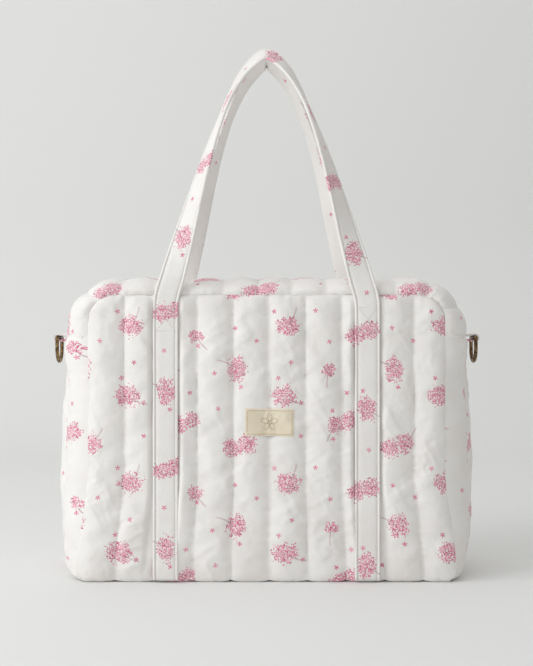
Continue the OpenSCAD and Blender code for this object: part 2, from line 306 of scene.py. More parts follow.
def floret_dashes(g, where, lobes, scale, offset, long, wide):
    """One printed layer: a short petal at its own angle in each cell whose centre is in a head."""
    moved = g.vector("ADD", where, (offset, offset * 0.7, 0))
    cells = g.node("ShaderNodeTexVoronoi", feature="F1", voronoi_dimensions="2D")
    g.wire(moved, cells.inputs["Vector"])
    cells.inputs["Scale"].default_value = scale
    centre = g.vector("SUBTRACT", cells.outputs["Position"], (offset, offset * 0.7, 0))
    chance = g.node("ShaderNodeSeparateColor")
    g.wire(cells.outputs["Color"], chance.inputs[0])
    head = head_distance(g, centre)
    rim = g.math("ADD", g.math("MULTIPLY_ADD", chance.outputs[0], 0.42, head), lobes)
    grown = g.ramp(rim, 1.0, 1.03, 1.0, 0.0)
    local = g.vector("MULTIPLY", g.vector("SUBTRACT", where, centre), (1 / MM, 1 / MM, 0))
    turned = g.turn(local, g.math("MULTIPLY", chance.outputs[1], 2 * math.pi))
    reach = g.vector("LENGTH", g.vector("MULTIPLY", turned, (1 / long, 1 / wide, 0)))
    petal = g.math("MULTIPLY", grown, g.ramp(reach, 0.72, 1.2, 1.0, 0.0))
    return petal, chance.outputs[2], head


def star_ink(g, where):
    """Scattered little flowers of five pointed petals."""
    nearby = held = None
    for x, z in STARS:
        flat = place_in_repeat(g, where, centre_shift(x, z))
        close = g.math("LESS_THAN", g.vector("LENGTH", flat), STAR_CELL)
        shown = g.node("ShaderNodeVectorMath", operation="SCALE")
        g.wire(flat, shown.inputs[0])
        g.wire(close, shown.inputs["Scale"])
        nearby = shown.outputs[0] if nearby is None else g.vector("ADD", nearby, shown.outputs[0])
        held = close if held is None else g.math("MAXIMUM", held, close)
    across, up, _ = g.split(nearby)
    angle = g.math("ARCTAN2", up, across)
    spin = g.math("MULTIPLY_ADD", g.noise(where, 24, 0.0), 9.0, angle)
    petal = g.math("POWER", g.math("ABSOLUTE", g.math("COSINE", g.math("MULTIPLY", spin, 2.5))), 1.6)
    reach = g.math("MULTIPLY_ADD", petal, STAR_R * 0.72, STAR_R * 0.34)
    apart = g.math("SUBTRACT", g.vector("LENGTH", nearby), reach)
    return g.math("MULTIPLY", held, g.ramp(apart, -0.55, 0.35, 1.0, 0.0))


def print_ink(g, where):
    """The printed pattern at a place on the cloth: (how much ink, its colour)."""
    lobes = g.math("MULTIPLY_ADD", g.noise(where, 165, 2.0, 0.75), 1.5, -0.9)
    first, tint_a, head = floret_dashes(g, where, lobes, 500, 0.0, 1.45, 0.46)
    second, tint_b, _ = floret_dashes(g, where, lobes, 430, 0.377, 1.6, 0.48)
    stalk = stem_mask(g, where)
    star = star_ink(g, where)
    wash = g.math("MULTIPLY", g.ramp(g.math("ADD", head, lobes), 0.4, 0.85, 0.22, 0.0),
                  g.ramp(g.noise(where, 700, 2.0), 0.35, 0.6))
    florets = g.math("MAXIMUM", g.math("MAXIMUM", first, second), wash)
    ink = g.math("MAXIMUM", g.math("MAXIMUM", florets, g.math("MULTIPLY", star, 0.9)),
                 g.math("MULTIPLY", stalk, 0.6))
    clump = g.ramp(g.noise(where, 210, 2.0, 0.6), 0.36, 0.66)
    cell_tint = g.math("MULTIPLY_ADD", g.math("SUBTRACT", tint_a, 0.5), 0.55, clump)
    cell_tint = g.math("MULTIPLY_ADD", g.math("SUBTRACT", tint_b, 0.5), 0.35, cell_tint, clamp=True)
    tone = g.mix(cell_tint, INK_LIGHT, INK_DEEP)
    dark = g.math("MULTIPLY", g.ramp(tint_a, 0.93, 0.95), g.math("MULTIPLY", first, 0.6))
    grey = g.math("MAXIMUM", dark, g.math("MULTIPLY", stalk, 0.75))
    return g.math("MULTIPLY", ink, 0.95, clamp=True), g.mix(grey, tone, INK_GREY)


def weave_height(g, where, threads):
    """Plain weave as a height: warp and weft ridges that pass over each other."""
    across, up, _ = g.split(where)
    turns = 2 * math.pi * threads
    warp = g.math("SINE", g.math("MULTIPLY", across, turns))
    weft = g.math("SINE", g.math("MULTIPLY", up, turns))
    slub = g.noise(where, 900, 2.0, 0.7)
    return g.math("ADD", g.math("MULTIPLY", warp, weft), g.math("MULTIPLY", slub, 2.0))


def cloth_material(name, base, shade, printed=False, threads=1700, bump=0.00012, shift=(0, 0)):
    """A woven cotton finish that reads the piece's own UV map, which is in metres on the cloth."""
    material, tree, shader = new_material(name)
    g = Graph(tree)
    uv = g.node("ShaderNodeUVMap")
    where = g.vector("ADD", uv.outputs[0], (shift[0], shift[1], 0))
    cloudy = g.noise(where, 26, 3.0, 0.6)
    colour = g.mix(g.ramp(cloudy, 0.35, 0.7), base, shade)
    fleck = g.ramp(g.noise(where, 1500, 2.0, 0.7), 0.62, 0.78, 0.0, 0.16)
    colour = g.mix(fleck, colour, tuple(c * 0.82 for c in shade[:3]) + (1,))
    if printed:
        ink, tone = print_ink(g, where)
        colour = g.mix(ink, colour, tone)
    g.wire(colour, shader.inputs["Base Color"])
    rough = g.ramp(g.noise(where, 300, 2.0, 0.6), 0.3, 0.7, 0.81, 0.92)
    g.wire(rough, shader.inputs["Roughness"])
    shader.inputs["Specular IOR Level"].default_value = 0.25
    shader.inputs["Sheen Weight"].default_value = 0.25
    shader.inputs["Sheen Roughness"].default_value = 0.45
    shader.inputs["Sheen Tint"].default_value = (1.0, 0.97, 0.95, 1)
    fine = g.bump(weave_height(g, where, threads), 0.35, bump)
    soft = g.bump(g.noise(where, 120, 3.0, 0.6), 0.5, 0.0012)
    g.wire(fine.outputs[0], soft.inputs["Normal"])
    g.wire(soft.outputs[0], shader.inputs["Normal"])
    return material


printed_cotton = cloth_material("printed_cotton", COTTON, COTTON_SHADE, printed=True)


# ---- Quilted front and back panels ----
# Cotton over polyester wadding, stitched through in upright channels. The front is sewn to the
# gusset all round, so the channels pinch shut along its rim and puff out between the stitching.

FRONT_SEED = 11
BACK_SEED = 47
PITCH = 37.0
FIRST_LINE = 2.5
PANEL_Y = 75.0
PANEL_W = 183.0
PANEL_TOP = 294.0
PANEL_LOW = 2.5
PANEL_FLARE = 12.0
TOP_R = 28.0
LOW_R = 8.0
PUFF = 6.2
BODY = 3.2
FOLD_DEPTH = 1.9
QUILT_T = 3.6
GRID = 2.0
STRAP_X = 103.0
PRESS_HALF = 17.5
PRESSED = 3.4
LATTICE = 64


def ease(x):
    return x * x * (3 - 2 * x)


def rounded(x):
    """A quarter circle from 0 to 1: steep at 0 and level at 1."""
    return np.sqrt(1 - (1 - x) ** 2)


def unit(rows):
    return rows / np.linalg.norm(rows, axis=1, keepdims=True)


def run_along(path):
    """Length along a polyline up to each of its places."""
    return np.concatenate([[0], np.cumsum(np.linalg.norm(np.diff(path, axis=0), axis=1))])


def rumple(x, y, seed):
    """Smooth value noise from -1 to 1 on a fixed random lattice, for arrays of places."""
    lattice = np.random.default_rng(seed).uniform(-1, 1, (LATTICE, LATTICE))
    xi = np.floor(x).astype(int)
    yi = np.floor(y).astype(int)
    fx = x - xi
    fy = y - yi
    fx = fx * fx * fx * (fx * (fx * 6 - 15) + 10)
    fy = fy * fy * fy * (fy * (fy * 6 - 15) + 10)

    def at(i, j):
        return lattice[(xi + i) % LATTICE, (yi + j) % LATTICE]

    low = at(0, 0) * (1 - fx) + at(1, 0) * fx
    high = at(0, 1) * (1 - fx) + at(1, 1) * fx
    return low * (1 - fy) + high * fy


def folds(x, z, seed):
    """Drape wrinkles in mm: slanting soft folds, sharper creases across them, and a fine crumple."""
    a = x * 0.87 + z * 0.5
    b = z * 0.87 - x * 0.5
    broad = rumple(a / 17, b / 46, seed) + 0.6 * rumple(x / 23 + 9, z / 60, seed + 1)
    cross = rumple(b / 11 + 5, a / 34, seed + 2)
    crease = 1 - np.abs(rumple(a / 12 + 20, b / 34, seed + 3)) * 3.2
    other = 1 - np.abs(rumple(b / 10 + 31, a / 27, seed + 4)) * 3.6
    some = np.clip(rumple(x / 31 + 3, z / 41, seed + 5) * 1.6 + 0.4, 0, 1)
    fine = rumple(x / 4.6, z / 6.2, seed + 6)
    sharp = 0.55 * np.clip(crease, 0, 1) + 0.5 * np.clip(other, 0, 1)
    return 0.6 * broad + 0.45 * cross + sharp * some + 0.13 * fine


def channel(s, sharp=0.54):
    """Height from 0 to 1 across the stitched channels, one to each whole step of s."""
    return np.abs(np.sin(np.pi * (s - np.floor(s)))) ** sharp


def puckers(along, away, seed):
    """Short gathers that a stitched line pulls into the cloth, fading away from the line."""
    wave = rumple(along / 4.4, away * 0 + 3.0, seed) + 0.5 * rumple(along / 2.5, away * 0 + 8.0, seed + 1)
    return 0.8 * wave * np.exp(-np.abs(away) / 5.5)


def closed_cloth(name, places, on_cloth, thick, material, flip=False):
    """A closed layer of cloth from grids of x, y, z and of its own two directions, all in mm."""
    points = np.stack(places, 2)
    uvs = np.stack(on_cloth, 2)
    rows, cols, _ = points.shape
    du = np.gradient(points, axis=1)
    dv = np.gradient(points, axis=0)
    normal = np.cross(du, dv)
    normal /= np.maximum(np.linalg.norm(normal, axis=2, keepdims=True), 1e-9)
    if flip:
        normal = -normal
    inner = points - normal * thick
    verts = np.concatenate([points.reshape(-1, 3), inner.reshape(-1, 3)]) * MM
    index = np.arange(rows * cols).reshape(rows, cols)
    a, b, c, d = (q.ravel() for q in (index[:-1, :-1], index[:-1, 1:], index[1:, 1:], index[1:, :-1]))
    count = rows * cols
    out = np.stack([a, b, c, d], 1)
    back = np.stack([a, d, c, b], 1) + count
    ring = np.concatenate([index[0, :], index[1:, -1], index[-1, -2::-1], index[-2:0:-1, 0]])
    after = np.roll(ring, -1)
    rim = np.stack([after, ring, ring + count, after + count], 1)
    faces = np.concatenate([out, back, rim])
    if flip:
        faces = faces[:, ::-1]
    mesh = bpy.data.meshes.new(name)
    mesh.from_pydata(verts.tolist(), [], faces.tolist())
    flat = np.concatenate([uvs.reshape(-1, 2)] * 2) * MM
    layer = mesh.uv_layers.new(name="cloth")
    layer.data.foreach_set("uv", flat[faces.ravel()].astype(np.float32).ravel())
    mesh.shade_smooth()
    ends = np.empty(len(mesh.edges) * 2, dtype=np.int32)
    mesh.edges.foreach_get("vertices", ends)
    on_rim = np.isin(ends.reshape(-1, 2), np.concatenate([ring, ring + count])).all(axis=1)
    mesh.edges.foreach_set("use_edge_sharp", on_rim)
    mesh.materials.append(material)
    piece = bpy.data.objects.new(name, mesh)
    bpy.context.scene.collection.objects.link(piece)
    return piece


def even_steps(start, end, step):
    return np.linspace(start, end, max(2, int(round(abs(end - start) / step)) + 1))



def panel_half_width(z):
    return PANEL_W + PANEL_FLARE * ease(np.clip((118 - z) / 112, 0, 1))


def corner_drop(x, radius):
    """How far a panel's rounded corner falls away from its straight edge."""
    past = np.clip((np.abs(x) - (PANEL_W - radius)) / radius, 0, 1)
    return radius * (1 - np.sqrt(1 - past * past))


def panel_heights(x):
    return PANEL_LOW + corner_drop(x, LOW_R), PANEL_TOP - corner_drop(x, TOP_R)


def panel_skin(x, z, seed):
    """How far the panel's face stands out past its rim's plane, in mm."""
    s = (x - FIRST_LINE) / PITCH
    wander = 0.9 * rumple(z / 38, s * 0 + 2, seed + 7)
    s = (x + wander - FIRST_LINE) / PITCH
    low, top = panel_heights(x)
    rim = np.minimum(np.minimum(z - low, top - z), PANEL_W - np.abs(x))
    edge = rounded(np.clip(rim / 15, 0, 1))
    loft = 1 + 0.12 * rumple(np.floor(s) * 1.7, z / 55, seed + 8)
    off_line = (s - np.round(s)) * PITCH
    body = BODY * (1 - (x / PANEL_W) ** 2) * np.clip(rim / 60, 0, 1)
    deep = (PUFF * loft * channel(s) + body) * edge
    deep += (folds(x, z, seed) * FOLD_DEPTH + puckers(z, off_line, seed + 9)) * edge
    deep += puckers(x, top - z, seed + 10) * 0.8 + puckers(x, z - low, seed + 11) * 0.8
    press = ease(np.clip((PRESS_HALF - np.abs(np.abs(x) - STRAP_X)) / 5, 0, 1))
    return deep * (1 - press) + np.minimum(deep, PRESSED) * press


def quilted_panel(name, face, seed, uv_shift, nodes):
    across = even_steps(-1, 1, GRID / PANEL_W)
    bunch = 0.985
    across = np.sin(across * math.pi / 2 * bunch) / math.sin(math.pi / 2 * bunch) * 0.35 + across * 0.65
    u, v = np.meshgrid(across, even_steps(0, 1, GRID / PANEL_TOP))
    flat_x = u * PANEL_W
    low, top = panel_heights(flat_x)
    z = low + (top - low) * v
    x = u * panel_half_width(z)
    foot = np.clip(1 - (z - low) / 16, 0, 1) ** 2
    sag = foot * 2.4 * channel((flat_x - FIRST_LINE) / PITCH) * (np.abs(flat_x) < PANEL_W - 6)
    y = face * (PANEL_Y + panel_skin(flat_x, z, seed))
    cut = (-face * flat_x + uv_shift[0], z + uv_shift[1])
    piece = closed_cloth(name, (x, y, np.maximum(z - sag, 0.3)), cut, QUILT_T, printed_cotton, flip=face > 0)
    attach(piece, "root")
    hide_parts(*nodes)


quilted_panel("front_quilt", -1, FRONT_SEED, (0.0, -262.0), ["front_panel", "front_wadding"])
quilted_panel("back_quilt", 1, BACK_SEED, (37.0, -262.0), ["back_panel", "back_wadding"])


# ---- Side gussets ----
# One quilted strip on each side, from the base up to the zip's gusset. It is held by the panels'
# seams at both edges and bulges out between them.

SIDE_TOP = 251.5
SIDE_FOOT = 1.0
SIDE_PUFF = 4.4
CREST_Y = 30.0
# The bag's half width at mid depth, over its height
REACH_Z = [0.5, 5, 16, 50, 110, 150, 190, 225, 262]
REACH = [202, 208, 213.5, 218.5, 220.8, 219.5, 217, 214, 213.5]


def side_reach(z):
    return sum(share * np.interp(z + up, REACH_Z, REACH) for up, share in ((-9, 0.25), (0, 0.5), (9, 0.25)))


def side_gusset(hand, side, seed, uv_shift):
    depth = even_steps(-1, 1, GRID / PANEL_Y)
    depth = np.sin(depth * math.pi / 2) * 0.45 + depth * 0.55
    t, v = np.meshgrid(depth, even_steps(0, 1, GRID / SIDE_TOP))
    z = SIDE_FOOT + (SIDE_TOP - SIDE_FOOT) * v
    y = t * PANEL_Y
    low_in = np.clip((LOW_R + 2 - z) / LOW_R, 0, 1)
    seam_x = panel_half_width(z) - LOW_R * (1 - np.sqrt(1 - low_in * low_in))
    bow = (1 - t * t) ** 0.72
    strip_bow = np.sqrt(1 - np.clip((np.abs(y) - CREST_Y) / (PANEL_Y - CREST_Y), 0, 1) ** 2)
    near_top = np.clip((z - 205) / 40, 0, 1)
    bow = bow + (strip_bow - bow) * ease(near_top)
    x = seam_x + (side_reach(z) - 3.0 - 1.8 * near_top - seam_x) * bow
    s = (y + 74) / PITCH
    edge = np.clip((PANEL_Y - np.abs(y)) / 12, 0, 1)
    ends = np.clip(np.minimum(z - SIDE_FOOT, SIDE_TOP - z) / 10, 0, 1)
    off_line = (s - np.round(s)) * PITCH
    puff = SIDE_PUFF * channel(s, 0.7) + folds(y, z, seed) * 1.8 + puckers(z, off_line, seed + 5)
    x = side * (x + puff * rounded(edge) * rounded(ends))
    cut = (side * y + uv_shift[0], z + uv_shift[1])
    piece = closed_cloth(f"side_gusset_{hand}", (x, y, z), cut, QUILT_T, printed_cotton, flip=side < 0)
    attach(piece, "root")
    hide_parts(f"side_panel_{hand}", f"side_wadding_{hand}")


side_gusset("left", -1, 71, (20.0, -250.0))
side_gusset("right", 1, 93, (-48.0, -236.0))


# ---- Quilted base ----
# The bottom of the bag, quilted across like the panels and sewn to them and to the side gussets.
# A stiff board lies on it inside, so it stays flat on the ground.

BASE_PUFF = 1.9
BASE_Z = 2.6
BASE_REACH = 200.0
BASE_T = 3.0


def quilted_base():
    u, t = np.meshgrid(even_steps(-1, 1, 2 * GRID / BASE_REACH), even_steps(-1, 1, 2 * GRID / PANEL_Y))
    seam = PANEL_W + PANEL_FLARE - LOW_R
    x = u * (seam + (BASE_REACH - seam) * (1 - t * t) ** 0.72)
    y = t * (PANEL_Y - 1.2)
    rim = np.clip(np.minimum(1 - np.abs(u), 1 - np.abs(t)) * 8, 0, 1)
    z = BASE_Z - BASE_PUFF * channel((x - FIRST_LINE) / PITCH) * rim - 0.4 * rim
    piece = closed_cloth("base_quilt", (x, y, z), (x + 61, y + 22), BASE_T, printed_cotton, flip=True)
    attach(piece, "root")
    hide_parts("base_panel", "base_wadding")


quilted_base()


# ---- Top gusset ----
# Two quilted strips, front and back of the zip, run from one side seam over the top to the other.
# Each is sewn to its panel along a narrow edge, and opens outwards from there when unzipped.

CROWN_Z = 309.8
CORNER_R = 56.1
CORNER_X = 153.3
CORNER_Z = 253.7
ZIP_EDGE_Y = 5.0
FOLD_Y = 68.0
SPLIT_X = -9.0
TOP_PITCH = 35.4
TOP_PUFF = 3.7
TOP_T = 3.0
TURN_R = 48.0
STRIP_STEP = 2.2
ZIP_LIP = 3.0
# The four quarters of the gusset: front and back of the zip, each on the left and on the right side
QUARTERS = [(face, depth, side, hand) for face, depth in ((-1, "front"), (1, "back"))
            for side, hand in ((-1, "left"), (1, "right"))]


def open_with(piece):
    """Bakes the piece's placing into its mesh, so that it stays where it was built."""
    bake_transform(piece)


def strip_rails(side):
    """The panel seam, the crest and the length along one half of the gusset, from the middle out."""
    start = side * SPLIT_X
    straight = np.linspace(start, CORNER_X, int((CORNER_X - start) / STRIP_STEP))
    turn = np.linspace(90, 0, 40)[1:]
    foot = np.linspace(0, 1, 7)[1:]
    cos = np.cos(np.radians(turn))
    sin = np.sin(np.radians(turn))
    seam_cx = PANEL_W - TOP_R
    seam_cz = PANEL_TOP - TOP_R
    past = CORNER_X - start
    crest_x = np.concatenate([straight, CORNER_X + CORNER_R * cos, foot * 0 + CORNER_X + CORNER_R])
    crest_z = np.concatenate([straight * 0 + CROWN_Z, CORNER_Z + CORNER_R * sin,
                              CORNER_Z + (SIDE_TOP - CORNER_Z) * foot])
    seam_x = np.concatenate([straight, seam_cx + TOP_R * cos, foot * 0 + PANEL_W])
    seam_z = np.concatenate([straight * 0 + PANEL_TOP, seam_cz + TOP_R * sin,
                             seam_cz + (SIDE_TOP - seam_cz) * foot])
    length = np.concatenate([straight - start, past + TURN_R * np.radians(90 - turn),
                             past + TURN_R * math.pi / 2 + 8 * foot])
    return np.stack([seam_x, seam_z], 1), np.stack([crest_x, crest_z], 1), length


def strip_grid(side, y_from, y_to, seed):
    """Skin of one half strip of the gusset between two depths from the middle, with its channels puffed."""
    seam, crest, length = strip_rails(side)
    slope = np.radians(90 * np.linspace(0, 1, 400))
    level = np.linspace(CREST_Y, ZIP_EDGE_Y, 120)[1:]
    y_all = np.concatenate([PANEL_Y - (PANEL_Y - CREST_Y) * (1 - np.cos(slope)), level])
    lift_all = np.concatenate([np.sin(slope), level * 0 + 1])
    tilt_all = np.concatenate([math.pi / 2 - slope, level * 0])
    run = run_along(np.stack([y_all, (CROWN_Z - PANEL_TOP) * lift_all], 1))
    start, end = np.interp([-y_from, -y_to], -y_all, run)
    far, up = np.meshgrid(length, even_steps(start, end, STRIP_STEP))
    y, lift, tilt = (np.interp(up, run, values) for values in (y_all, lift_all, tilt_all))
    x, z = (seam[:, k] + (crest - seam)[:, k] * lift for k in (0, 1))
    s = far / TOP_PITCH
    rim = rounded(np.clip(np.minimum(up, run[-1] - up) / 9, 0, 1))
    loft = 1 + 0.15 * rumple(np.floor(s) * 1.3 + side, up / 30, seed)
    out = TOP_PUFF * loft * channel(s, 0.7) * rim + folds(far, up * 1.3, seed + 1) * 0.9 * rim
    out += ZIP_LIP * np.clip((CREST_Y - y) / (CREST_Y - ZIP_EDGE_Y), 0, 1) ** 2
    out += puckers(far, up, seed + 3) * 0.7
    to_foot = np.clip((length[-1] - far) / 12, 0, 1)
    slack = 0.4 + 0.6 * np.clip((length[-1] - far) / 32, 0, 1)
    out = out * slack * rounded(to_foot) - 0.5 * (1 - to_foot) ** 2 * lift
    away_x = x - np.minimum(x, CORNER_X)
    away_z = z - CORNER_Z
    level_out = out * np.cos(tilt) / np.hypot(away_x, away_z)
    places = side * (x + level_out * away_x), y + out * np.sin(tilt), z + level_out * away_z
    return places, (side * far, up)


def strip_seed(side, face):
    return 120 + 10 * side + 3 * face


def gusset_strip(name, side, face, y_from, y_to, *nodes):
    (x, y, z), (far, up) = strip_grid(side, y_from, y_to, strip_seed(side, face))
    cut = (far + face * 30.0, up + (44.0 + 13 * face))
    piece = closed_cloth(name, (x, face * y, z), cut, TOP_T, printed_cotton, flip=(side * face > 0))
    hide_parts(*nodes)
    return piece


for face, depth, side, hand in QUARTERS:
    edge = gusset_strip(f"gusset_edge_{depth}_{hand}", side, face, PANEL_Y, FOLD_Y, f"strip_edge_{depth}")
    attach(edge, "root")
    strip = gusset_strip(f"gusset_{depth}_{hand}", side, face, FOLD_Y, ZIP_EDGE_Y,
                         f"top_strip_{depth}", f"corner_strip_{depth}_{hand}")
    open_with(strip)


# ---- Zip ----
# A white nylon coil on woven tape runs round both corners and over the top. Its two antique brass
# sliders meet the fabric tabs at its ends, low on each side.

ZIP_CX = 156.0
ZIP_CZ = 259.0
ZIP_R = 54.0
ZIP_LOW = 252.6
TOOTH_STEP = 1.9
TOOTH = (0.9, 3.3, 1.9)
TEETH_Y = 1.25
TEETH_RISE = 0.5
TAPE_DROP = 1.3
TAPE_T = 0.5


def mottled(name, pale, dark, scale, rough, rough_scale=None, detail=2.0, grain=0.5, low=0.35):
    """A finish of two cloudy tones over the piece, with a plain or a cloudy roughness."""
    material, tree, shader = new_material(name)
    g = Graph(tree)
    place = g.node("ShaderNodeTexCoord").outputs["Object"]
    cloud = g.ramp(g.noise(place, scale, detail, grain), low, 0.65)
    g.wire(g.mix(cloud, pale, dark), shader.inputs["Base Color"])
    if rough_scale:
        rough = g.ramp(g.noise(place, rough_scale), 0.3, 0.7, *rough)
    g.wire(rough, shader.inputs["Roughness"])
    return material


nylon = mottled("zip_coil", (0.88, 0.86, 0.82, 1), (0.80, 0.77, 0.73, 1), 180, (0.28, 0.42), 700, low=0.4)
zip_tape_cloth = cloth_material("zip_tape_weave", (0.80, 0.78, 0.75, 1), (0.74, 0.715, 0.68, 1), threads=900)


def zip_route(side):
    """Places along one half of the zip, from the middle out, with the way it runs and the way up."""
    start = side * SPLIT_X
    straight = ZIP_CX - start
    total = straight + ZIP_R * math.pi / 2 + (ZIP_CZ - ZIP_LOW)

    def at(length):
        if length < straight:
            return (start + length, ZIP_CZ + ZIP_R), (1, 0), (0, 1)
        turn = (length - straight) / ZIP_R
        if turn < math.pi / 2:
            up = (math.sin(turn), math.cos(turn))
            return (ZIP_CX + ZIP_R * up[0], ZIP_CZ + ZIP_R * up[1]), (up[1], -up[0]), up
        return (ZIP_CX + ZIP_R, ZIP_CZ - (length - straight - ZIP_R * math.pi / 2)), (0, -1), (1, 0)

    return at, total


def add_block(verts, faces, centre, along, wide, up, size):
    """A small bevelled tooth: a block with its upper edges drawn in."""
    first = len(verts)
    half = [q / 2 for q in size]
    for k, draw in ((-1, 1.0), (0.35, 1.0), (1, 0.6)):
        for i, j in ((-1, -1), (1, -1), (1, 1), (-1, 1)):
            verts.append(centre + along * (i * half[0] * draw) + wide * (j * half[1] * (0.5 + draw / 2))
                         + up * (k * half[2]))
    faces.append((first + 3, first + 2, first + 1, first))
    for ring in (0, 4):
        for k in range(4):
            a, b = first + ring + k, first + ring + (k + 1) % 4
            faces.append((a, b, b + 4, a + 4))
    faces.append((first + 8, first + 9, first + 10, first + 11))


def link_piece(name, verts, faces, material, smooth=False, uvs=()):
    """Links a mesh of places in mm, with its faces all turned outwards."""
    mesh = bpy.data.meshes.new(name)
    mesh.from_pydata([tuple(Vector(v) * MM) for v in verts], [], faces)
    if uvs:
        layer = mesh.uv_layers.new(name="cloth")
        for k, (u, v) in enumerate(uvs):
            layer.data[k].uv = (u * MM, v * MM)
    work = bmesh.new()
    work.from_mesh(mesh)
    bmesh.ops.recalc_face_normals(work, faces=work.faces)
    work.to_mesh(mesh)
    work.free()
    if smooth:
        mesh.shade_smooth()
    mesh.materials.append(material)
    piece = bpy.data.objects.new(name, mesh)
    bpy.context.scene.collection.objects.link(piece)
    return piece


def zip_half(depth, hand, face, side):
    at, total = zip_route(side)
    verts, faces = [], []
    phase = 0 if face < 0 else TOOTH_STEP / 2
    for k in range(int((total - phase) / TOOTH_STEP)):
        (x, z), (ax, az), (ux, uz) = at(phase + k * TOOTH_STEP)
        along = Vector((side * ax, 0, az))
        up = Vector((side * ux, 0, uz))
        centre = Vector((side * x, face * TEETH_Y, z)) + up * (TEETH_RISE - TOOTH[2] / 2)
        add_block(verts, faces, centre, along, Vector((0, face, 0)), up, TOOTH)
    teeth = link_piece(f"zip_coil_{depth}_{hand}", verts, faces, nylon)
    lengths = even_steps(0, total, 2.5)
    depths = [2.2, 3.2, 4.3, 5.6]
    places = np.array([[(side * (x - ux * TAPE_DROP), face * d, z - uz * TAPE_DROP)
                        for (x, z), _, (ux, uz) in map(at, lengths)] for d in depths])
    tape = closed_cloth(f"zip_web_{depth}_{hand}", np.moveaxis(places, 2, 0), np.meshgrid(lengths, depths),
                        TAPE_T, zip_tape_cloth, flip=side * face < 0)
    for piece, kind in ((teeth, "zip_teeth"), (tape, "zip_tape")):
        open_with(piece)
        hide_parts(f"{kind}_{depth}", f"{kind}_{hand}")


for face, depth, side, hand in QUARTERS:
    zip_half(depth, hand, face, side)


# ---- Metal ----
# The D-rings are bent from 4 mm wire, the sliders and pulls are cast. All are plated antique brass,
# dark in the recesses and rubbed brighter where they touch things.

def antique_brass():
    material, tree, shader = new_material("antique_brass")
    g = Graph(tree)
    place = g.node("ShaderNodeTexCoord").outputs["Object"]
    stain = g.noise(place, 260, 3.0, 0.65)
    worn = g.ramp(stain, 0.35, 0.68)
    g.wire(g.mix(worn, (0.075, 0.047, 0.024, 1), (0.36, 0.255, 0.13, 1)), shader.inputs["Base Color"])
    shader.inputs["Metallic"].default_value = 1.0
    g.wire(g.ramp(stain, 0.3, 0.75, 0.46, 0.27), shader.inputs["Roughness"])
    g.wire(g.bump(g.noise(place, 1500, 2.0, 0.6), 0.25, 0.0002).outputs[0], shader.inputs["Normal"])
    return material


def refinish(node, material):
    """Puts a finish on a shape of the frame that is kept as it is."""
    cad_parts[node].data.materials.clear()
    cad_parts[node].data.materials.append(material)


brass = antique_brass()
for hand in ("left", "right"):
    for kind in ("d_ring", "zip_slider", "zip_pull"):
        refinish(f"{kind}_{hand}", brass)


# ---- Straps and handles ----
# Printed cotton folded in three round a stiff tape and topstitched near both edges. One length in
# front and one behind run up the panel, over as a handle with a creased crown, and down again.

STRAP_FOOT = 0.9
STRAP_LIE = 4.2
STRAP_STEP = 3.0
STITCH_IN = 9.9
STITCH_STEP = 3.3
STITCH_LONG = 2.5
STITCH_R = 0.28
STITCH_SINK = 2.15
THREAD_SIDES = 6
BOX_LOW = 257.0
BOX_HIGH = 281.0
LEG_TOP = 286.0
HANDLE_ROOT_Y = 79.5
HANDLE_ROOT_Z = 289.3
HANDLE_TOP = 556.0
SIDE_TURN = 84.0
CROWN_TURN = 52.0
HALF_THICK = 1.6
strap_cotton = cloth_material("strap_cotton", COTTON, COTTON_SHADE, printed=True, shift=(0.031, 0.017))
thread = mottled("white_thread", (0.86, 0.84, 0.81, 1), (0.74, 0.70, 0.66, 1), 900, 0.6)


def strap_section():
    """Outline of the strap across its width: places across and out, then back along its underside."""
    half = [(-13.0, 1.7), (-12.7, 2.8), (-12.0, 3.4), (-11.2, 3.5), (-10.5, 3.1), (-9.9, 2.0), (-9.3, 2.75),
            (-8.2, 3.15), (-5.5, 3.3), (-2.5, 3.35)]
    under = [(12.7, 0.7), (11.5, 0.1), (6.0, 0.0), (0.0, 0.0), (-6.0, 0.0), (-11.5, 0.1), (-12.7, 0.7)]
    return np.array(half + [(0.0, 3.35)] + [(-a, o) for a, o in half[::-1]] + under)


def sweep_strap(spots, wides, outs, lengths, seed, shift):
    """Sweeps the strap's section along its route; returns the verts, faces and UVs for its mesh."""
    section = strap_section()
    count = len(section)
    girth = run_along(np.concatenate([section, section[:1]]))
    ridge = 0.18 * rumple(lengths / 9.0, lengths * 0 + 1, seed)
    ridge += 0.25 * rumple(lengths / 40.0, lengths * 0, seed + 1)
    verts, faces, uvs = [], [], []
    for spot, wide, out, ripple in zip(spots, wides, outs, ridge):
        verts += [spot + wide * a + out * (o + (ripple if o > 1 else 0)) for a, o in section]
    for i, (v0, v1) in enumerate(zip(lengths, lengths[1:])):
        for k, (u0, u1) in enumerate(zip(girth, girth[1:])):
            a, b = i * count + k, i * count + (k + 1) % count
            faces.append((a, b, b + count, a + count))
            uvs += [(u0, v0), (u1, v0), (u1, v1), (u0, v1)]
    ring = list(range(count))
    for first, cap in ((0, ring[::-1]), ((len(spots) - 1) * count, ring)):
        faces.append(tuple(first + k for k in cap))
        uvs += [tuple(section[k]) for k in cap]
    return verts, faces, [(u + shift[0], v + shift[1]) for u, v in uvs]


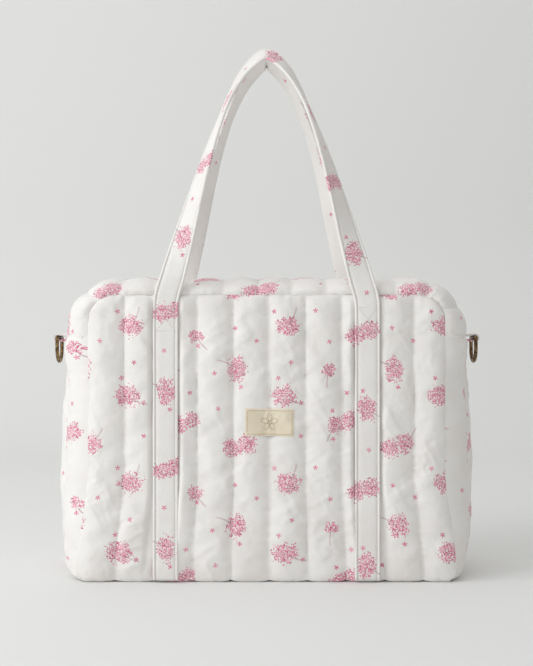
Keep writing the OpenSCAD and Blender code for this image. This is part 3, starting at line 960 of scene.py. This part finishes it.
def add_stitch(verts, faces, centre, along, out, size=1.0):
    """One stitch: a short spindle of thread lying on the cloth."""
    first = len(verts)
    along = along.normalized()
    out = (out - along * out.dot(along)).normalized()
    wide = along.cross(out)
    for k, grow, dip in ((-0.5, 0.55, -0.5), (-0.2, 1.0, 0.1), (0.2, 1.0, 0.1), (0.5, 0.55, -0.5)):
        for q in range(THREAD_SIDES):
            turn = 2 * math.pi * q / THREAD_SIDES
            r = STITCH_R * grow * size
            verts.append(centre + along * (k * STITCH_LONG * size)
                         + out * (r * math.sin(turn) + dip * STITCH_R) + wide * (r * math.cos(turn) * 1.2))
    for ring in range(3):
        for q in range(THREAD_SIDES):
            a = first + ring * THREAD_SIDES + q
            b = first + ring * THREAD_SIDES + (q + 1) % THREAD_SIDES
            faces.append((a, b, b + THREAD_SIDES, a + THREAD_SIDES))
    faces.append(tuple(range(first + THREAD_SIDES - 1, first - 1, -1)))
    faces.append(tuple(range(first + 3 * THREAD_SIDES, first + 4 * THREAD_SIDES)))


def stitch_line(verts, faces, places, outs, size=1.0):
    """Stitches at even steps along a polyline of places in mm."""
    places = np.array([tuple(p) for p in places])
    outs = np.array([tuple(o) for o in outs])
    run = run_along(places)
    step = STITCH_STEP * size
    for k in range(int(run[-1] / step)):
        mid = (k + 0.5) * step
        p, q, o = (Vector([np.interp(far, run, rows[:, i]) for i in range(3)])
                   for far, rows in ((mid, places), (mid + 0.6, places), (mid, outs)))
        if (q - p).length > 1e-6:
            add_stitch(verts, faces, p, q - p, o, size)


def cloth_and_thread(name, cloth, stitches):
    """One mesh of a swept cloth piece and its stitches, each with its own finish."""
    verts, faces, uvs = cloth
    thread_verts, thread_faces = stitches
    thread_faces = [tuple(i + len(verts) for i in f) for f in thread_faces]
    piece = link_piece(name, verts + thread_verts, faces + thread_faces, strap_cotton, smooth=True, uvs=uvs)
    piece.data.materials.append(thread)
    for polygon in piece.data.polygons[len(faces):]:
        polygon.material_index = 1
    return piece


def bezier(points, t):
    a, b, c, d = points
    return a * (1 - t) ** 3 + 3 * b * t * (1 - t) ** 2 + 3 * c * t * t * (1 - t) + d * t ** 3


def smoothed(values, width):
    """Running mean over a list of places, with its ends held."""
    padded = np.concatenate([np.repeat(values[:1], width, 0), values, np.repeat(values[-1:], width, 0)])
    kernel = np.ones(2 * width + 1) / (2 * width + 1)
    return np.stack([np.convolve(padded[:, i], kernel, "valid") for i in range(values.shape[1])], 1)


def at_steps(steps, run, rows):
    return np.stack([np.interp(steps, run, column) for column in rows.T], 1)


def strap_lie(z, seed):
    """How far the strap's underside lies in front of the panel's plane, over its height."""
    level = STRAP_LIE + 0.3 * rumple(z / 26, z * 0, seed)
    rise = np.clip((z - STRAP_FOOT) / 14, 0, 1)
    level = level * rounded(rise) + 0.8 * (1 - rise)
    top = ease(np.clip((z - 264) / 22, 0, 1))
    return level * (1 - top) + (HANDLE_ROOT_Y - PANEL_Y - HALF_THICK) * top


def handle_arch():
    """Left half of the handle: its middle line and the way its outer face looks, up to the crown."""
    t = np.linspace(0, 1, 110)
    x = bezier((STRAP_X, 70.0, 48.0, 0.0), t)
    y = bezier((HANDLE_ROOT_Y, 76.0, 34.0, 11.8), t)
    z = bezier((HANDLE_ROOT_Z, 395.0, 531.0, HANDLE_TOP), t)
    arch = np.stack([-x, -y, z], 1)
    ahead = unit(np.gradient(arch, axis=0))
    ahead[-1] = (1, 0, 0)
    turn = SIDE_TURN * (1 - (1 - np.clip(t - 0.05, 0, 1) / 0.95) ** 2.7)
    turn = np.radians(turn - (SIDE_TURN - CROWN_TURN) * ease(np.clip((t - 0.6) / 0.4, 0, 1)))[:, None]
    flat_out = unit(np.stack([-ahead[:, 2], ahead[:, 2] * 0, ahead[:, 0]], 1))
    out = unit(np.cos(turn) * np.array([0, -1.0, 0]) + np.sin(turn) * flat_out)
    return arch - out * HALF_THICK, out


def carry_strap(face, depth, seed, shift):
    """One long strap: up the panel at the left, over as the handle, and down at the right."""
    z = even_steps(STRAP_FOOT, LEG_TOP, STRAP_STEP)
    arch, arch_out = handle_arch()
    half = np.concatenate([np.stack([z * 0 - STRAP_X, -(PANEL_Y + strap_lie(z, seed)), z], 1), arch])
    half_out = np.concatenate([np.stack([z * 0, z * 0 - 1, z * 0], 1), arch_out])
    whole, whole_out = (np.concatenate([q, (q * (-1, 1, 1))[-2::-1]]) for q in (half, half_out))
    whole = smoothed(smoothed(whole, 2), 1)
    whole_out = smoothed(smoothed(whole_out, 3), 2)
    run = run_along(whole)
    steps = even_steps(0, run[-1], STRAP_STEP)
    spots = at_steps(steps, run, whole)
    out = at_steps(steps, run, whole_out)
    ahead = unit(np.gradient(spots, axis=0))
    out = unit(out - ahead * (out * ahead).sum(1, keepdims=True))
    wide = np.cross(ahead, out)
    if face > 0:
        spots, out, wide = (q * (1, -1, 1) for q in (spots, out, wide))
    spots, out, wide = ([Vector(q) for q in group] for group in (spots, out, wide))
    cloth = sweep_strap(spots, wide, out, steps, seed, shift)
    verts, faces = [], []
    for edge in (-STITCH_IN, STITCH_IN):
        stitch_line(verts, faces, [s + w * edge + o * STITCH_SINK for s, w, o in zip(spots, wide, out)], out)
    corners = {"a": (-STITCH_IN, BOX_LOW), "b": (STITCH_IN, BOX_LOW), "c": (STITCH_IN, BOX_HIGH),
               "d": (-STITCH_IN, BOX_HIGH)}
    for side in (-1, 1):
        for first, last in ("ab", "dc", "ac", "bd"):
            cross, climb = np.linspace(corners[first], corners[last], 9).T
            level = PANEL_Y + strap_lie(climb, seed) + 3.4
            ends = [Vector((side * STRAP_X + q, face * d, h)) for q, d, h in zip(cross, level, climb)]
            stitch_line(verts, faces, ends, [Vector((0, face, 0))] * len(ends))
    piece = cloth_and_thread(f"strap_and_handle_{depth}", cloth, (verts, faces))
    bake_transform(piece)
    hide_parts(f"handle_{depth}", f"strap_{depth}_left", f"strap_{depth}_right")


carry_strap(-1, "front", 301, (-77, 67))
carry_strap(1, "back", 331, (-26, 25))


# ---- Quilting stitches ----
# White machine stitches lie in the bottom of every quilting channel, and a row of them holds the
# top gusset down beside the zip.

STRAP_CLEAR = 10


def panel_stitches(name, face, seed):
    verts, faces = [], []
    for line in np.arange(-5, 5) * PITCH + FIRST_LINE:
        if abs(line) > PANEL_W - 8 or abs(abs(line) - STRAP_X) < STRAP_CLEAR:
            continue
        low, top = panel_heights(line)
        z = even_steps(low + 4, top - 3, 2.0)
        x = line - 0.9 * rumple(z / 38, z * 0 + 2, seed + 7)
        deep = panel_skin(x, z, seed)
        x = x * panel_half_width(z) / PANEL_W
        places = np.stack([x, face * (PANEL_Y + deep + 0.12), z], 1)
        stitch_line(verts, faces, places, np.tile((0.0, face, 0.0), (len(z), 1)))
    piece = link_piece(name, verts, faces, thread, smooth=True)
    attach(piece, "root")


panel_stitches("front_quilting_thread", -1, FRONT_SEED)
panel_stitches("back_quilting_thread", 1, BACK_SEED)


def zip_edge_stitches(side, face, depth, hand):
    places, _ = strip_grid(side, FOLD_Y, ZIP_EDGE_Y, strip_seed(side, face))
    row = np.stack([q[-3] for q in places], 1) * (1, face, 1)
    inner_x = np.minimum(np.abs(row[:, 0]), CORNER_X) * side
    outs = unit(row - np.stack([inner_x, row[:, 1], row[:, 0] * 0 + CORNER_Z], 1))
    verts, faces = [], []
    stitch_line(verts, faces, row + outs * 0.15, outs)
    piece = link_piece(f"zip_topstitch_{depth}_{hand}", verts, faces, thread, smooth=True)
    open_with(piece)


for face, depth, side, hand in QUARTERS:
    zip_edge_stitches(side, face, depth, hand)


# ---- Side seams, zip ends and ring tabs ----
# A folded seam crosses each side where the top gusset meets the side gusset. The zip ends in it
# under a small cotton tab, and a folded cotton loop in the same seam carries the D-ring.

WELT_R = 1.5
WELT_SIDES = 12
END_TAB_HALF = 8.5
END_TAB_X = 210.2
END_TAB_T = 1.4
TAB_ROOT_X = 206.0
TAB_LOOP_R = 3.35
TAB_CLOTH = 1.7
TAB_HALF = 11.0
RING_BAR_X = 225.5
RING_BAR_Z = 250.0


def side_top_x(y):
    """Half width of the bag where the side gusset ends under the top gusset, at a depth."""
    lift = math.sqrt(1 - min(1, max(0, (abs(y) - CREST_Y) / (PANEL_Y - CREST_Y))) ** 2)
    return PANEL_W + (CORNER_X + CORNER_R - 0.5 - PANEL_W) * lift


def seam_welt(side, hand):
    depths = even_steps(-PANEL_Y + 1, PANEL_Y - 1, 2.5)
    around = np.radians(np.linspace(0, 360, WELT_SIDES + 1)[:-1])
    wave = 0.35 * rumple(depths / 9, depths * 0, 400 + side)
    verts = [(side * (side_top_x(y) + (WELT_R + 0.3 * w) * math.cos(q)), y,
              SIDE_TOP + w + WELT_R * 1.5 * math.sin(q)) for y, w in zip(depths, wave) for q in around]
    last = len(verts) - WELT_SIDES
    faces = [(i + k, i + (k + 1) % WELT_SIDES, i + WELT_SIDES + (k + 1) % WELT_SIDES, i + WELT_SIDES + k)
             for i in range(0, last, WELT_SIDES) for k in range(WELT_SIDES)]
    faces += [tuple(range(WELT_SIDES - 1, -1, -1)), tuple(range(last, len(verts)))]
    welt = link_piece(f"side_seam_{hand}", verts, faces, printed_cotton, smooth=True)
    layer = welt.data.uv_layers.new(name="cloth")
    for loop in welt.data.loops:
        spot = welt.data.vertices[loop.vertex_index].co
        layer.data[loop.index].uv = (spot.y + 0.03 * side, spot.z * 1.6)
    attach(welt, "root")


def zip_end_tab(side, hand):
    low, high = (np.array(q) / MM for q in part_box(f"zip_end_{hand}"))
    y, v = np.meshgrid(even_steps(-END_TAB_HALF, END_TAB_HALF, 1.0), even_steps(0, 1, 0.1))
    z = low[2] - 0.5 + (high[2] - low[2] + 3.5) * v
    edge = np.clip(np.minimum((END_TAB_HALF - np.abs(y)) / 2.2, np.minimum(v, 1 - v) * 5), 0, 1)
    x = END_TAB_X + 1.9 * rounded(edge) + 0.25 * rumple(y / 4, v * 5, 410 + side) + (z - low[2]) * 0.02
    tab = closed_cloth(f"zip_end_tab_{hand}", (side * x, y, z), (side * y + 12, z + 30), END_TAB_T,
                       strap_cotton, flip=side < 0)
    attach(tab, "root")
    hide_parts(f"zip_end_{hand}")


def path_normals(path):
    """The way square to an upright path, at each of its places."""
    ahead = unit(np.gradient(path, axis=0))
    return np.stack([-ahead[:, 1], ahead[:, 0]], 1)


def ring_loop(side, hand):
    reach = RING_BAR_X - TAB_ROOT_X
    lean = math.asin((TAB_LOOP_R - 1.0) / reach)
    turn = np.linspace(math.pi / 2 + lean, -math.pi / 2 - lean, 22)
    arc = np.stack([RING_BAR_X + TAB_LOOP_R * np.cos(turn), RING_BAR_Z + TAB_LOOP_R * np.sin(turn)], 1)
    upper = np.linspace((TAB_ROOT_X, RING_BAR_Z + 1.2), arc[0], 9)[:-1]
    lower = np.stack([upper[::-1, 0], 2 * RING_BAR_Z - upper[::-1, 1]], 1)
    path = np.concatenate([upper, arc, lower])
    outward = path_normals(path)
    wide, far = np.meshgrid(even_steps(-TAB_HALF, TAB_HALF, 1.1), run_along(path))
    inset = TAB_HALF - np.abs(wide)
    bead = 0.35 * np.exp(-((inset - 0.9) / 0.9) ** 2) - 0.3 * np.exp(-((inset - 2.6) / 0.6) ** 2)
    skin = TAB_CLOTH / 2 + bead + 0.12 * rumple(wide / 4, far / 6, 420 + side)
    places = side * (path[:, :1] + outward[:, :1] * skin), wide, path[:, 1:] + outward[:, 1:] * skin
    loop = closed_cloth(f"ring_loop_{hand}", places, (wide + 52, far + 9), TAB_CLOTH, strap_cotton,
                        flip=side > 0)
    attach(loop, "root")
    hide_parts(f"ring_tab_{hand}")
    verts, faces = [], []
    for column in (2, -3):
        for rows, up in ((slice(1, 9), 1.0), (slice(-9, -1), -1.0)):
            row = np.stack([q[rows, column] for q in places], 1)
            stitch_line(verts, faces, row, [(0, 0, up)] * len(row))
    sewn = link_piece(f"ring_loop_thread_{hand}", verts, faces, thread, smooth=True)
    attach(sewn, "root")


for side, hand in ((-1, "left"), (1, "right")):
    seam_welt(side, hand)
    zip_end_tab(side, hand)
    ring_loop(side, hand)


# ---- Label ----
# A small patch of natural linen tape, turned in at its ends and sewn to the front panel round its
# edge with tan thread. A plain five-petalled flower is embroidered on it.

LABEL_W = 50.0
LABEL_H = 28.0
LABEL_X = 3.0
LABEL_Z = 164.0
LABEL_LEAN = 0.012
LABEL_T = 0.8
EDGE_SEWING = 0.75
FLOWER_SEWING = 0.8
linen = cloth_material("label_linen", (0.86, 0.775, 0.615, 1), (0.80, 0.705, 0.54, 1),
                       threads=1100, bump=0.0002)
tan_thread = mottled("tan_thread", (0.52, 0.40, 0.27, 1), (0.42, 0.31, 0.20, 1), 900, 0.55)


def label_face(u, v):
    """Places on the label's face, from its own width and height in mm."""
    x = LABEL_X + u + v * LABEL_LEAN
    z = LABEL_Z + v - u * LABEL_LEAN
    over = panel_skin(LABEL_X + 18.0 * np.sign(u + 0.01), z, FRONT_SEED)
    hold = np.maximum(panel_skin(x, z, FRONT_SEED), 0.72 * over) + 0.9
    bow = 0.25 * rumple(u / 9, v / 8, 430)
    return x, -(PANEL_Y + hold + bow), z


def flower_outline():
    """Five looped petals round a small heart, as rows of places in mm."""
    rows = []
    loop = np.radians(np.linspace(-180, 180, 17))
    for aim in np.radians(90 + 72 * np.arange(5)):
        out = 5.0 + 3.5 * np.cos(loop)
        across = 2.4 * np.sin(loop)
        rows.append(np.stack([math.cos(aim) * out - math.sin(aim) * across,
                              math.sin(aim) * out + math.cos(aim) * across], 1))
    turn = np.radians(np.linspace(0, 360, 9))
    return rows + [1.4 * np.stack([np.cos(turn), np.sin(turn)], 1)]


def sew_label():
    half_w, half_h = LABEL_W / 2, LABEL_H / 2
    u, v = np.meshgrid(even_steps(-half_w, half_w, 1.0), even_steps(-half_h, half_h, 1.0))
    x, y, z = label_face(u, v)
    edge = np.clip(np.minimum(half_w - np.abs(u), half_h - np.abs(v)) / 1.5, 0, 1)
    y = y + 0.5 * (1 - rounded(edge))
    patch = closed_cloth("label_patch", (x, y, z), (u, v), LABEL_T, linen)
    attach(patch, "root")
    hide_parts("label")
    verts, faces = [], []
    in_w = half_w - 2.2
    in_h = half_h - 2.0
    corners = [(-in_w, -in_h), (in_w, -in_h), (in_w, in_h), (-in_w, in_h), (-in_w, -in_h)]
    rows = [(np.linspace(a, b, 25), EDGE_SEWING) for a, b in zip(corners, corners[1:])]
    for row, size in rows + [(row, FLOWER_SEWING) for row in flower_outline()]:
        x, y, z = label_face(*row.T)
        outs = np.tile((0.0, -1.0, 0.0), (len(row), 1))
        stitch_line(verts, faces, np.stack([x, y - 0.12, z], 1), outs, size)
    sewn = link_piece("label_thread", verts, faces, tan_thread, smooth=True)
    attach(sewn, "root")


sew_label()


# ---- Inside ----
# Plain off-white cotton lines the bag. A patch pocket on the back lining is gathered by an
# elastic in its hem, and a stiff grey board lies between the lining and the base.

LINING_Y = 70.6
LINING_LOW = 7.5
LINING_W = 180.0
LINING_TOP = 283.0
LINING_T = 0.6
LINING_GRID = 4.0
LINING_SIDE_X = 181.5
LINING_SIDE_TOP = 235.0
LINING_CORNER = 10.0
POCKET_HALF = 119.0
POCKET_LOW = 61.0
POCKET_TOP = 199.0
BAND_Z = 191.0
BAND_H = 7.6
BAND_T = 0.9
FULLNESS = 1.15
lining_cotton = cloth_material("lining_cotton", (0.83, 0.81, 0.77, 1), (0.79, 0.76, 0.72, 1), threads=1500)
ribbed = cloth_material("ribbed_elastic", (0.86, 0.85, 0.82, 1), (0.80, 0.79, 0.76, 1),
                        threads=800, bump=0.0003)


def line_panel(face, depth):
    u, v = np.meshgrid(even_steps(-1, 1, LINING_GRID / LINING_W), even_steps(0, 1, LINING_GRID / LINING_TOP))
    x = u * LINING_W
    past = np.clip((np.abs(x) - (LINING_W - TOP_R)) / TOP_R, 0, 1)
    top = LINING_TOP - TOP_R * (1 - np.sqrt(1 - past * past * 0.98))
    z = LINING_LOW + (top - LINING_LOW) * v
    y = face * (LINING_Y - 0.5 + 0.5 * rumple(x / 26, z / 48, 440 + face))
    sheet = closed_cloth(f"lining_{depth}_sheet", (x, y, z), (x, z), LINING_T, lining_cotton, flip=face < 0)
    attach(sheet, "root")
    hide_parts(f"lining_{depth}")


def line_gusset():
    corner = LINING_CORNER
    legs = even_steps(LINING_SIDE_TOP, LINING_LOW + corner, LINING_GRID)
    arc = np.radians(np.linspace(180, 270, 9))[1:-1]
    left = [(-LINING_SIDE_X, z) for z in legs]
    left += [(corner * (1 + math.cos(q)) - LINING_SIDE_X, LINING_LOW + corner * (1 + math.sin(q))) for q in arc]
    end = LINING_SIDE_X - corner
    floor = [(x, LINING_LOW) for x in even_steps(-end, end, LINING_GRID)]
    path = np.array(left + floor + [(-x, z) for x, z in left[::-1]])
    inward = path_normals(path)
    run = run_along(path)
    y, far = np.meshgrid(even_steps(-LINING_Y + 1.2, LINING_Y - 1.2, LINING_GRID), run)
    soft = 0.6 + 0.6 * rumple(y / 22, far / 35, 450)
    places = path[:, :1] + inward[:, :1] * soft, y, path[:, 1:] + inward[:, 1:] * soft
    sheet = closed_cloth("lining_gusset_sheet", places, (y, far), LINING_T, lining_cotton)
    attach(sheet, "root")
    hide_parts("lining_gusset")


def sew_pocket():
    half = POCKET_HALF
    high = POCKET_TOP - POCKET_LOW
    u, v = np.meshgrid(even_steps(-1, 1, 1.6 / half), even_steps(0, 1, 3.0 / high))
    x = u * half
    z = POCKET_LOW + high * v
    sides = np.clip((half - np.abs(x)) / 10, 0, 1)
    swell = rounded(sides) * np.clip(v * 4, 0, 1)
    gather = np.sin(x / 2.1 + 1.5 * rumple(x / 16, z * 0, 460)) * np.clip((z - 120) / 70, 0, 1)
    y = 69.3 - 4.6 * swell - 1.0 * gather * sides - 0.5 * rumple(x / 18, z / 30, 461) * swell
    pocket = closed_cloth("pocket_pouch", (x, y, z), (x * FULLNESS, z), LINING_T, lining_cotton)
    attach(pocket, "root")
    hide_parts("inner_pocket")
    u, v = np.meshgrid(even_steps(-1, 1, 1.2 / half), even_steps(0, 1, 0.12))
    x = u * (half - 1)
    z = BAND_Z + BAND_H * v
    bow = 4.6 * rounded(np.clip((half - np.abs(x)) / 10, 0, 1))
    y = 68.4 - bow - 1.5 - 0.35 * np.sin(x * 1.7) - 0.15 * np.sin(z * 4)
    band = closed_cloth("pocket_band", (x, y, z), (x, z), BAND_T, ribbed)
    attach(band, "root")
    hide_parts("pocket_elastic")


line_panel(-1, "front")
line_panel(1, "back")
line_gusset()
sew_pocket()
refinish("base_board", mottled("grey_board", (0.35, 0.33, 0.30, 1), (0.25, 0.235, 0.21, 1), 420, (0.8, 0.95),
                               200, detail=4.0, grain=0.7))
